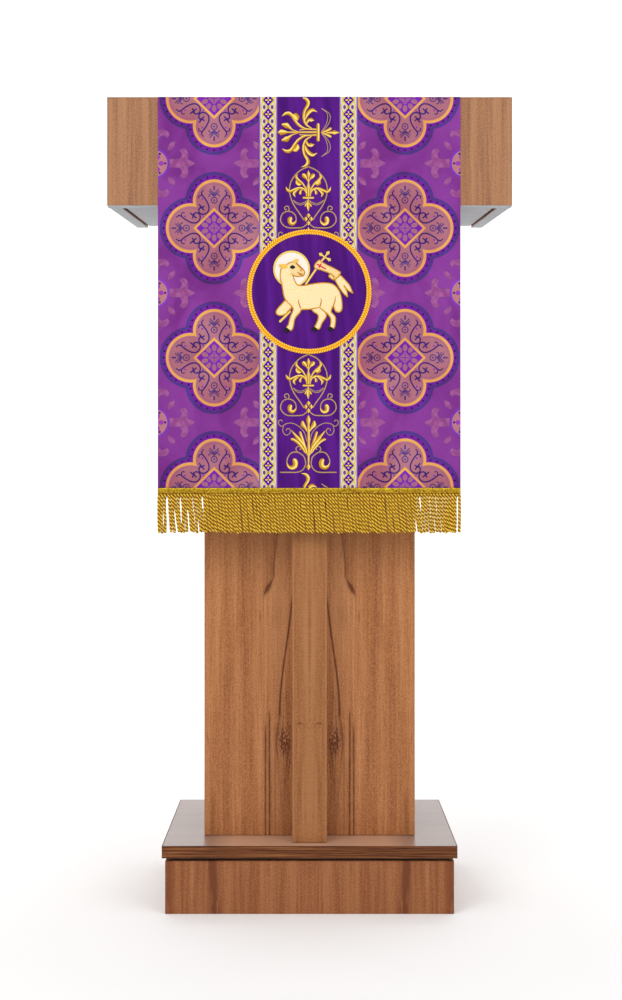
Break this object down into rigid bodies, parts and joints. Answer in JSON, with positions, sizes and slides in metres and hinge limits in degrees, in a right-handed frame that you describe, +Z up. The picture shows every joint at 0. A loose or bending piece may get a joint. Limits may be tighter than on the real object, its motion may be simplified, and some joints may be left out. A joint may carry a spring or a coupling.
{
  "type": "pulpit",
  "caption": "Free-standing laminated board pulpit with a sloping reading desk, a boxed column and a plinth, dressed with a fringed violet brocade fall.",
  "frame": {"origin": "on the floor, under the middle of the reading desk", "axes": "+Z up, -Y towards the congregation, +Y towards the reader, +X to the right as the congregation sees it"},
  "size_m": [0.594, 0.415, 1.2032],
  "materials": {
    "laminate": "satin plum-coloured laminate",
    "slab_laminate": "semi-gloss plum-coloured laminate",
    "dark_band": "dark brown wood-grain edging",
    "plum_band": "plum wood-grain edging",
    "grey_band": "light grey edging",
    "grey_board": "light grey melamine-faced board",
    "black_board": "matte black board",
    "softwood": "planed, unfinished",
    "steel": "zinc-plated",
    "lining": "plain dark violet lining",
    "brocade": "violet figured brocade with orange outlines",
    "orphrey": "deep violet satin with gold embroidery",
    "galloon": "woven braid, white, yellow and violet",
    "gold_thread": "twisted gold thread",
    "cream_thread": "cream and gold needlework"
  },
  "bodies": {
    "root": {"plinth_front_board": "laminate", "plinth_back_board": "laminate", "plinth_left_board": "laminate", "plinth_right_board": "laminate", "column_front_board": "laminate", "column_back_board": "laminate", "column_left_board": "laminate", "column_right_board": "laminate", "front_post": "laminate", "head_fascia": "laminate", "head_left_side": "laminate", "head_right_side": "laminate", "head_back_rail": "laminate", "desk_board": "laminate", "book_stop": "laminate", "base_slab": "slab_laminate", "slab_edge_front": "dark_band", "slab_edge_back": "dark_band", "slab_edge_left": "dark_band", "slab_edge_right": "dark_band", "fascia_edge_top": "plum_band", "fascia_edge_left": "plum_band", "fascia_edge_right": "plum_band", "fascia_edge_bottom": "grey_band", "head_left_rim": "grey_band", "head_right_rim": "grey_band", "head_bottom_board": "grey_board", "reveal_board": "black_board", "plinth_front_left_block": "softwood", "plinth_back_left_block": "softwood", "plinth_front_right_block": "softwood", "plinth_back_right_block": "softwood", "column_left_foot_batten": "softwood", "column_right_foot_batten": "softwood", "column_left_head_batten": "softwood", "column_right_head_batten": "softwood", "low_left_head_dowel": "softwood", "high_left_head_dowel": "softwood", "low_right_head_dowel": "softwood", "high_right_head_dowel": "softwood", "low_post_screw": "steel", "middle_post_screw": "steel", "high_post_screw": "steel", "left_slab_screw": "steel", "right_slab_screw": "steel", "left_head_screw": "steel", "right_head_screw": "steel", "fall_lining": "lining", "fall_brocade": "brocade", "orphrey_panel": "orphrey", "medallion_ground": "orphrey", "left_galloon": "galloon", "right_galloon": "galloon", "medallion_cord": "gold_thread", "front_fringe_heading": "gold_thread", "front_fringe_skirt": "gold_thread", "rear_fringe_heading": "gold_thread", "rear_fringe_skirt": "gold_thread", "lamb_embroidery": "cream_thread"}
  },
  "joints": []
}
